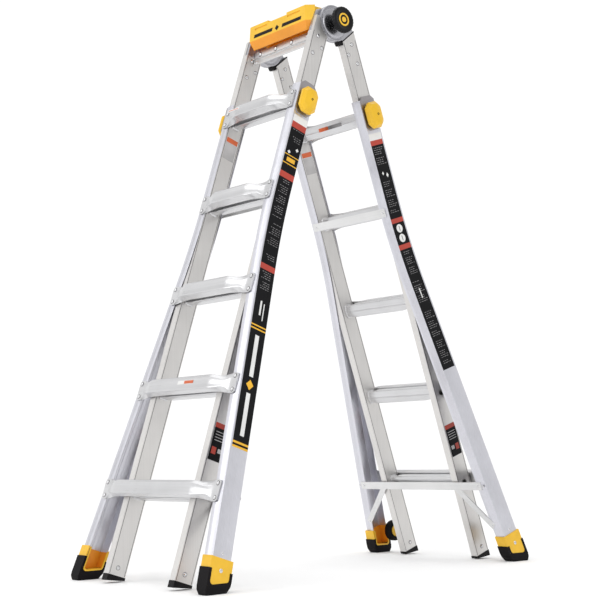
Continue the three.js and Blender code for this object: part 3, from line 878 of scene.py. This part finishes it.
def boot_lining(section, hand):
    """The boot's inside over the rail, coloured with painted shade as a darker orange copy of the yellow, and
    the light rim round its open side.
    """
    side = SIDES[hand]
    x0 = OUTER_X[0] + 0.0004
    x1 = OUTER_X[1] - OUTER_WALL - 0.0002
    n0 = OUTER_N[0] + OUTER_WALL + 0.0006
    n1 = OUTER_N[1] - OUTER_WALL - 0.0006
    channel = [
        (x0, n0), (x1, n0), (x1, n1), (x0, n1), (x0, n1 - BOOT_SKIN),
        (x1 - BOOT_SKIN, n1 - BOOT_SKIN), (x1 - BOOT_SKIN, n0 + BOOT_SKIN), (x0, n0 + BOOT_SKIN),
    ]
    tops = [(x, n, BOOT_TOP + 0.004) for x, n in channel]
    bottoms = [(x, n, level_s(LINING_END, n)) for x, n in channel]
    shape = Shape()
    shape.loft([[(side * (x + flare(s)), n, s) for x, n, s in ring] for ring in (tops, bottoms)])
    outer = tongue_outline(0.0006, 0.0006)
    inner = tongue_outline(-0.0026, -0.0026)
    top = BOOT_TOP + 0.002
    band = [(outer[0][0], top)] + outer[1:-1] + [(outer[-1][0], top), (inner[-1][0], top)]
    band += inner[-2:0:-1] + [(inner[0][0], top)]
    rim = (OUTER_X[0] - 0.0042, OUTER_X[0] - 0.0012)
    shape.across(band, rim, finish=1, side=side, lean=flare)
    # The lining takes the darker orange copy of the yellow as painted shade; the rim keeps the plain yellow.
    materials = [shaded_yellow, yellow]
    build(shape, f"{section}_boot_lining_{hand}", f"{section}_outer", materials, section)


def foot(section, hand):
    side = SIDES[hand]
    keep_node(f"{section}_foot_boot_{hand}", yellow, 0.0014)
    shoe(section, hand)
    boot_lining(section, hand)
    middle = sum(OUTER_N) / 2
    rivets = Shape()
    for x, s, radius in ((OUTER_X[1] + BOOT_WALL, 1.729, 0.0058), (OUTER_X[1], 1.684, 0.0042)):
        base = (side * (x + flare(s)), middle, s)
        rivets.rivet(base, (side, 0, -FLARE_SLOPE), radius=radius, height=radius * 0.4)
    build(rivets, f"{section}_foot_rivets_{hand}", f"{section}_outer", [rivet_metal], section)


def wheel(hand):
    """A black tyre on a yellow hub, whose flat faces cover the spokes inside."""
    node = f"back_wheel_{hand}"
    (middle_x, *centre), (half, radius, _) = middle_and_half("back", node)
    tyre = mirrored([
        (0.002 - half, 0.0225), (-half, 0.025), (-half, radius - 0.004), (0.002 - half, radius - 0.001),
        (0.005 - half, radius),
    ])
    hub = mirrored([
        (0.0005 - half, 0.0222), (0.0005 - half, 0.0195), (0.006 - half, 0.0185), (0.006 - half, 0.0095),
        (0.0002 - half, 0.0085), (0.0002 - half, 0.0055),
    ])
    shape = Shape()
    shape.lathe([(middle_x + x, r) for x, r in tyre], 64, centre)
    shape.lathe([(middle_x + x, r) for x, r in hub], 48, centre, finish=1)
    near, far = SPOKE_REACH
    for i in range(SPOKES):
        angle = 2 * math.pi * i / SPOKES
        direction = Vector((math.cos(angle), math.sin(angle)))
        across = Vector((-direction.y, direction.x)) * SPOKE_HALF
        corners = []
        for reach, sign in ((near, -1), (far, -1), (far, 1), (near, 1)):
            spot = Vector(centre) + direction * reach + across * sign
            corners.append(tuple(spot))
        for x0, x1 in ((0.0012 - half, 0.0065 - half), (half - 0.0065, half - 0.0012)):
            shape.across(corners, (middle_x + x0, middle_x + x1), finish=1)
    materials = [tyre_rubber, yellow]
    build(shape, f"{node}_spoked", f"wheel_{hand}", materials, "back", [node])


# ---- top


def cap():
    """The yellow cap, with painted shade: a darker orange copy of its yellow where it looks down or inward.
    """
    keep_node("top_cap", yellow, 0.0016)
    mesh = frame["nodes"]["top_cap"].data
    mesh.materials.append(shaded_yellow)
    low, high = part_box("top_cap")
    middle = (low + high) / 2
    # Painted shade: faces that look down, and faces below the dip that look inward, get the darker orange
    # copy of the yellow.
    for face in mesh.polygons:
        below_dip = face.center.z < high.z - CAP_DIP
        faces_in = below_dip and face.normal.dot(face.center - middle) < 0
        if face.normal.z < -0.1 or faces_in:
            face.material_index = 1


def top_bar():
    """The pressed bar under the cap, with a fold along it and four big rivets."""
    low, high = section_box("front", "front_top_bar")
    n0, n1, s0, s1 = low[1], high[1], low[2], high[2]
    ridge = s0 + 0.024
    corners = [
        (n0, s0, 0.0), (n1 + 0.004, s0 - 0.003, 0.002), (n1 - 0.004, ridge - 0.003, 0.0),
        (n1 + 0.0016, ridge - 0.0015, 0.0), (n1 + 0.0016, ridge, 0.0), (n1 - 0.002, ridge + 0.0015, 0.0),
        (n1 - 0.001, s1, 0.002), (n1 - 0.004, s1, 0.0), (n1 - 0.007, s0 + 0.006, 0.0), (n0, s0 + 0.004, 0.0),
    ]
    shape = Shape()
    shape.across(rounded(corners), (low[0], high[0]))
    facing = Vector((0, ridge - s0, 0.008)).normalized()
    for x in (-0.122, -0.044, 0.034, 0.112):
        spot = (x, n1, (s0 + ridge) / 2 - 0.003)
        # A wider, low dark ring under each big rivet is painted shade round its head.
        shape.rivet(spot, facing, radius=0.0085, height=0.0008, finish=2)
        shape.rivet(spot, facing, radius=0.0072, height=0.0036, finish=1)
    for side in SIDES.values():
        shape.rivet((side * 0.134, n1 - 0.0012, s1 - 0.009), (0, 1, 0), radius=0.005, height=0.002, finish=1)
    materials = [brace_metal, rivet_metal, painted_shade_metal]
    build(shape, "front_top_bar_pressed", "front_inner", materials, "front", ["front_top_bar"])


def cap_marks():
    """Plain dark bars and a diamond on the cap's front, in place of any lettering."""
    low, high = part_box("top_cap")
    crease = HINGE.z + CAP_CREASE
    shape = Shape()

    def mark(outline):
        rings = []
        for lift in (-0.0003, 0.0004):
            ring = []
            for x, z in outline:
                y = low.y + CAP_LEAN * (z - CAP_CREASE) / (high.z - crease) - lift
                ring.append((x, y, HINGE.z + z))
            rings.append(ring)
        shape.loft(rings)

    for x0, x1 in ((-0.116, -0.024), (0.024, 0.116)):
        mark([(x0, 0.0095), (x1, 0.0095), (x1 + 0.003, 0.0205), (x0 + 0.003, 0.0205)])
    mark([(-0.010, 0.015), (0.0, 0.006), (0.010, 0.015), (0.0, 0.024)])
    build(shape, "top_cap_marks", "front_inner", [black], None)


# ---- labels


def web_x(s, lift=0.0):
    """x of a label on the outer rail's web at s."""
    return OUTER_X[1] + flare(s) + LABEL_LIFT + lift


def plate(shape, side, outline, finish):
    """A thin flat shape on the web, from (n, s) points."""
    shape.loft([[(side * web_x(s, lift), n, s) for n, s in outline] for lift in (-0.0002, 0.0003)], finish)


SQUARE = ((-1, -1), (1, -1), (1, 1), (-1, 1))
DIAMOND = ((-1, 0), (0, -1), (1, 0), (0, 1))
DISC = ring_of(1.0, 32)
BANDS = {  # s where the label starts, then (s where a band ends, finish)
    "front": (
        0.360, (0.382, 3), (0.402, 1), (0.490, 0), (0.493, 2), (0.518, 0), (0.521, 2), (0.547, 0),
        (0.566, 1), (0.848, 0), (0.866, 1), (1.038, 0), (1.042, 2), (1.048, 0), (1.052, 2), (1.382, 0),
        (1.388, 2), (1.394, 0), (1.400, 2),
    ),
    "back": (0.362, (0.384, 3), (0.400, 1), (0.640, 0), (0.655, 1), (0.726, 0), (0.742, 1), (1.143, 0)),
}
PRINT = {  # (start, end) of each block of dashes along s
    "front": ((0.406, 0.418), (0.430, 0.452), (0.572, 0.700), (0.716, 0.800), (0.810, 0.842), (0.872, 0.940)),
    "back": ((0.408, 0.470), (0.520, 0.632), (0.750, 0.840), (0.850, 0.930), (0.945, 1.040), (1.050, 1.135)),
}
MARKS = {  # (outline, n from the middle, s, half width, half height, finish)
    "front": (
        (DIAMOND, -0.014, 0.466, 0.006, 0.006, 0), (DIAMOND, 0.014, 0.482, 0.006, 0.006, 0),
        (SQUARE, 0.0, 0.5055, 0.016, 0.0065, 1), (SQUARE, 0.004, 0.985, 0.003, 0.022, 0),
        (SQUARE, -0.008, 0.995, 0.0016, 0.026, 0), (SQUARE, 0.0, 1.130, 0.007, 0.062, 0),
        (SQUARE, 0.0, 1.302, 0.007, 0.062, 0), (DIAMOND, 0.0, 1.216, 0.013, 0.015, 1),
    ),
    "back": (
        (DISC, 0.0, 0.674, 0.0135, 0.0135, 0), (SQUARE, 0.0, 0.674, 0.0016, 0.010, 1),
        (DISC, 0.0, 0.706, 0.0135, 0.0135, 0), (SQUARE, 0.0, 0.706, 0.0016, 0.010, 1),
        (DIAMOND, -0.008, 0.492, 0.004, 0.006, 0), (DIAMOND, 0.010, 0.500, 0.005, 0.008, 0),
        (SQUARE, -0.002, 0.890, 0.002, 0.016, 0),
    ),
}
MARK_FINISHES = {"front": [label_white, label_yellow], "back": [label_white, label_grey]}


def web_label(section, hand):
    """A long vinyl label on an outer rail's web: one closed skin, with a finish for each band."""
    n0, n1 = LABEL_N
    corners = ((0.0, n0), (0.0, n1), (-BAND_THICKNESS, n1), (-BAND_THICKNESS, n0))
    start, *bands = BANDS[section]
    stations = [start]
    finishes = []
    for end, finish in bands:
        steps = max(1, math.ceil((end - start) / BAND_STEP))
        stations += [mix(start, end, (i + 1) / steps) for i in range(steps)]
        finishes += [finish] * steps * len(corners)
        start = end
    shape = Shape()
    shape.loft([[(SIDES[hand] * web_x(s, lift), n, s) for lift, n in corners] for s in stations])
    shape.finishes = finishes + [finishes[0], finishes[-1]]
    materials = [label_black, label_red, label_yellow, label_white, label_grey]
    build(shape, f"{section}_web_label_{hand}", f"{section}_outer", materials, section)


def dashes(shape, side, s_range, seed):
    """One block of ragged rows of dashes, with a gap in place of every fifth row."""
    rows = int((s_range[1] - s_range[0]) / PRINT_PITCH)
    for row in range(rows):
        if (row + seed) % 5 == 4:
            continue
        s = s_range[0] + PRINT_PITCH * row
        stop = s + PRINT_PITCH * 0.22
        n = LABEL_N[0] + PRINT_MARGIN + 0.003 * ((row * 3 + seed) % 3)
        edge = LABEL_N[1] - PRINT_MARGIN - 0.004 * ((row * 5 + seed) % 4)
        step = 0
        while n < edge - 0.003:
            length = 0.003 + 0.0011 * ((seed * 5 + row * 3 + step * 7) % 6)
            last = min(n + length, edge)
            plate(shape, side, [(n, s), (last, s), (last, stop), (n, stop)], 0)
            n = last + 0.0035
            step += 1


def web_print(section, hand):
    """Short plain dashes on a web's label, in place of small print."""
    shape = Shape()
    for seed, s_range in enumerate(PRINT[section]):
        dashes(shape, SIDES[hand], s_range, seed)
    build(shape, f"{section}_web_print_{hand}", f"{section}_outer", [label_grey], section)


def web_marks(section, hand):
    """Plain bars, diamonds and discs on a web's label, in place of signs and larger lettering."""
    middle = sum(LABEL_N) / 2
    shape = Shape()
    for outline, offset, s, reach_n, reach_s, finish in MARKS[section]:
        points = [(middle + offset + a * reach_n, s + b * reach_s) for a, b in outline]
        plate(shape, SIDES[hand], points, finish)
    materials = MARK_FINISHES[section]
    build(shape, f"{section}_label_marks_{hand}", f"{section}_outer", materials, section)


TREAD_DECALS = (  # (tread, x range, s range from the tread's middle, finish)
    (5, (-0.118, -0.060), (-0.009, -0.001), 0), (5, (-0.114, -0.066), (-0.006, -0.004), 1),
    (2, (0.000, 0.075), (-0.007, 0.004), 0), (2, (0.032, 0.075), (-0.006, 0.003), 1),
)


def tread_decals():
    """Small labels on two of the front treads and on the top rung of the back's inner ladder."""
    shape = Shape()
    for number, x, (above, below), finish in TREAD_DECALS:
        (_, n, middle), (_, depth, _) = middle_and_half("front", f"front_outer_tread_{number}")
        layer = (n + depth - 0.0013, n + depth - 0.0007 + 0.0002 * finish)
        shape.block(x, layer, (middle + above, middle + below), finish)
    build(shape, "front_tread_labels", "front_outer", [label_white, label_orange], "front")
    (_, n, middle), (_, depth, _) = middle_and_half("back", "back_inner_rung_5")
    face = n - depth
    shape = Shape()
    for finish, x in enumerate(((-0.045, 0.000), (0.000, 0.060))):
        shape.block(x, (face - 0.0006, face + 0.002), (middle - 0.008, middle + 0.004), finish)
    build(shape, "back_rung_labels", "back_inner", [label_orange, label_grey], "back")


def inner_decals():
    """Small decals on the inner rails: an orange one high up inside and a dark one low down outside."""
    upper = film(INNER_X[0], -1)
    lower = film(INNER_X[1], 1)
    raised = film(INNER_X[1], 1, lift=0.0006)
    blocks = [
        (upper, (0.022, 0.066), (0.362, 0.378), 1), (upper, (0.022, 0.066), (0.380, 0.436), 2),
        (lower, (0.020, 0.067), (1.328, 1.342), 3), (lower, (0.020, 0.067), (1.342, 1.434), 0),
        (raised, (0.046, 0.062), (1.396, 1.416), 3), (raised, (0.026, 0.040), (1.398, 1.410), 2),
    ]
    blocks += [(raised, (0.026, 0.060), (s, s + 0.0018), 2) for s in (1.352, 1.360, 1.368, 1.376)]
    materials = [label_black, label_orange, label_pale, label_red]
    for section in SECTIONS:
        shape = Shape()
        for side in SIDES.values():
            for x, n, s, finish in blocks:
                shape.block(x, n, s, finish, side)
        build(shape, f"{section}_inner_decals", f"{section}_inner", materials, section)


# ---- assembly

for section_name in SECTIONS:
    inner_rails(section_name)
    rail_rivets(section_name)
    crossbar(section_name)
    brace(section_name)
    for hand_name in SIDES:
        outer_rail(section_name, hand_name)
        hinge_casting(section_name, hand_name)
        lock_knob(section_name, hand_name)
        foot(section_name, hand_name)
        keep_node(f"{section_name}_lock_plate_{hand_name}", plate_metal, 0.0006)
    for rung_number in RUNGS:
        outer_tread(section_name, rung_number)
        inner_rung(section_name, rung_number)
for hand_name in SIDES:
    hinge_knob(hand_name)
    wheel(hand_name)
cap()
top_bar()
cap_marks()
for hand_name in SIDES:
    for label_part in (web_label, web_print, web_marks):
        for section_name in SECTIONS:
            label_part(section_name, hand_name)
tread_decals()
inner_decals()

# ---- studio

CAMERA_FROM_HINGE = Vector((2.9889, -2.6218, -1.3257))
AZIMUTH = math.radians(49.278)
ELEVATION = math.radians(-7.184)
ROLL = math.radians(-1.194)
LENS_MM = 76.41
SHIFT = (0.0135, -0.0147)
LIGHT_TARGET = Vector((0, 0, 0.9))
FLOOR_REACH = 300.0


def studio_camera():
    back = Vector((
        math.sin(AZIMUTH) * math.cos(ELEVATION),
        -math.cos(AZIMUTH) * math.cos(ELEVATION),
        math.sin(ELEVATION),
    ))
    right = (-back).cross(Vector((0, 0, 1))).normalized()
    up = right.cross(-back)
    x_axis = right * math.cos(ROLL) + up * math.sin(ROLL)
    y_axis = up * math.cos(ROLL) - right * math.sin(ROLL)
    camera = place("camera", bpy.data.cameras.new("camera"))
    camera.data.lens = LENS_MM
    camera.data.shift_x, camera.data.shift_y = SHIFT
    turn = Matrix((x_axis, y_axis, back)).transposed().to_4x4()
    camera.matrix_world = Matrix.Translation(HINGE + CAMERA_FROM_HINGE) @ turn
    bpy.context.scene.camera = camera


def soft_light(name, location, size, power):
    light = bpy.data.lights.new(name, "AREA")
    light.shape = "DISK"
    light.size = size
    light.energy = power
    holder = place(name, light)
    holder.location = location
    aim = LIGHT_TARGET - Vector(location)
    holder.rotation_mode = "QUATERNION"
    holder.rotation_quaternion = aim.to_track_quat("-Z", "Y")


def studio_world():
    """A soft white studio that dims towards +X and towards the zenith."""
    nodes = Nodes(bpy.data.worlds.new("studio"), "Background")
    split = nodes.add("ShaderNodeSeparateXYZ")
    nodes.link(nodes.add("ShaderNodeTexCoord").outputs["Generated"], split.inputs["Vector"])
    product = nodes.add("ShaderNodeMath", operation="MULTIPLY")
    dimming = (("X", 1.06, 0.72, (-0.1, 0.9)), ("Z", 1.0, 0.7, (0.4, 0.95)))
    for (axis, near, far, span), factor in zip(dimming, product.inputs):
        nodes.link(nodes.spread(split.outputs[axis], near, far, span), factor)
    nodes.link(product.outputs["Value"], nodes.shader.inputs["Strength"])
    nodes.shader.inputs["Color"].default_value = (1.0, 1.0, 1.0, 1.0)
    bpy.context.scene.world = nodes.owner


def studio():
    studio_world()
    soft_light("key", (-0.6, -4.6, 3.4), 2.2, 30)
    soft_light("fill", (3.6, -1.5, 2.6), 1.6, 25)
    overhead = bpy.data.lights.new("overhead", "SUN")
    overhead.energy = 0.9
    overhead.angle = math.radians(70)
    place("overhead", overhead)
    corners = [(a * FLOOR_REACH, b * FLOOR_REACH, 0) for a, b in SQUARE]
    mesh = bpy.data.meshes.new("floor")
    mesh.from_pydata(corners, [], [(0, 1, 2, 3)])
    white = plastic("floor", (0.95, 0.95, 0.95), 0.8, grain=40.0, bump=0.0, variation=0.005, specular=0.1)
    mesh.materials.append(white)
    floor = place("floor", mesh)
    bpy.context.scene.view_settings.view_transform = "Standard"


studio_camera()
studio()
